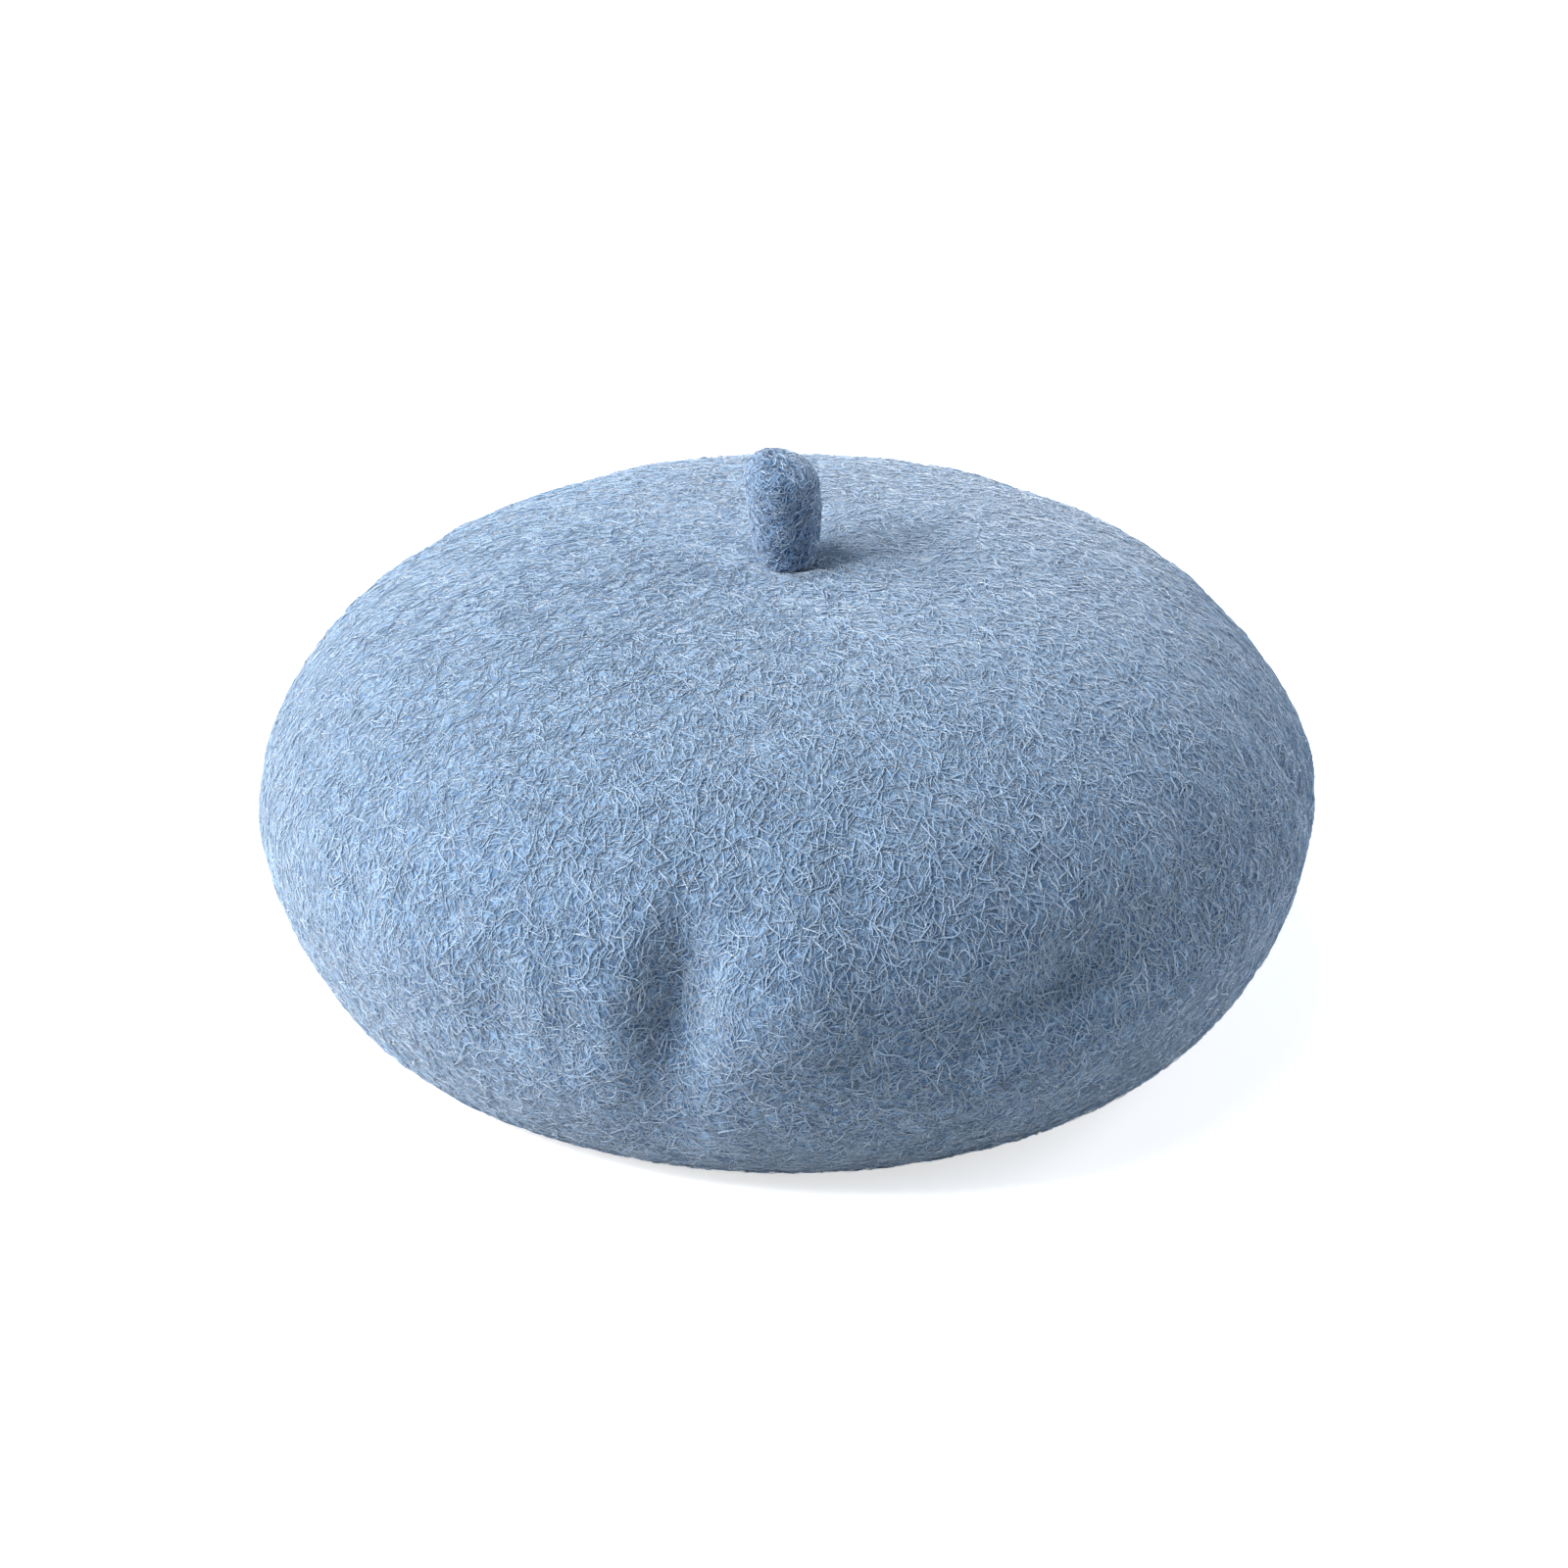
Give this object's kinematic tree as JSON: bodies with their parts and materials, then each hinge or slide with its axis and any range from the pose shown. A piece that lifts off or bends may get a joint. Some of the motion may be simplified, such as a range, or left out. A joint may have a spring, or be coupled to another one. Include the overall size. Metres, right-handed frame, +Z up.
{
  "type": "felt beret",
  "caption": "Round moulded wool felt beret with a full dome, turned edge, plain head opening and a short thick felt stem.",
  "frame": {"origin": "middle of the head opening, on the plane that the beret rests on", "axes": "+Z up through the stem, -Y to the front with the deep fold, +X to the wearer's left, the picture's right"},
  "size_m": [0.2676, 0.2687, 0.1448],
  "materials": {
    "body_felt": "matt felted wool with a long curly nap",
    "stem_felt": "matt felted wool, denser and more tightly curled"
  },
  "bodies": {
    "root": {"crown": "body_felt", "stem": "stem_felt"}
  },
  "joints": []
}
